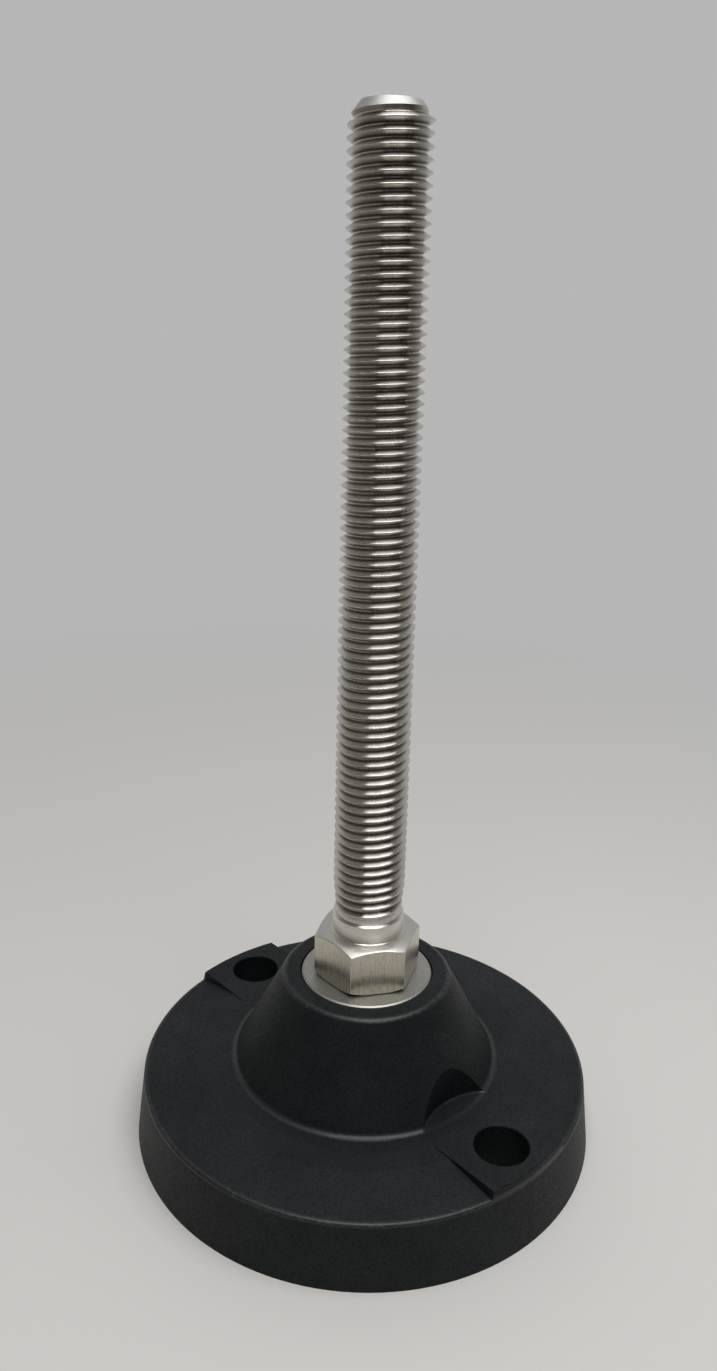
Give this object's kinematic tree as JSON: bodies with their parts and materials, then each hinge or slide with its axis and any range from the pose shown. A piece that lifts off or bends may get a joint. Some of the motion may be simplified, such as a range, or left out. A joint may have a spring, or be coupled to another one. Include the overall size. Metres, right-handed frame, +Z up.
{
  "type": "levelling foot",
  "caption": "Bolt-down levelling foot: a round moulded base with bolt lugs, a ball that tilts in its hub, and a threaded steel spindle with a hexagon that turns in the ball.",
  "frame": {"origin": "centre of the base's underside, on the surface it stands on", "axes": "+Z up along the spindle, X through the bolt lugs"},
  "size_m": [0.127, 0.127, 0.2591],
  "materials": {
    "base_plastic": "fine satin grain, black",
    "ball_steel": "matt turned face",
    "spindle_steel": "bright rolled thread, satin hexagon",
    "ring_steel": "plain spring steel"
  },
  "bodies": {
    "base": {"base": "base_plastic"},
    "ball": {"swivel_ball": "ball_steel"},
    "spindle": {"spindle": "spindle_steel", "retaining_ring": "ring_steel"}
  },
  "joints": [
    {"name": "tilt", "type": "hinge", "parent": "base", "child": "ball", "pos_m": [0, 0, 0.0401], "axis": [1, 0, 0], "range_deg": [-10, 10]},
    {"name": "turn", "type": "hinge", "parent": "ball", "child": "spindle", "pos_m": [0, 0, 0.0401], "axis": [0, 0, 1], "continuous": true}
  ]
}
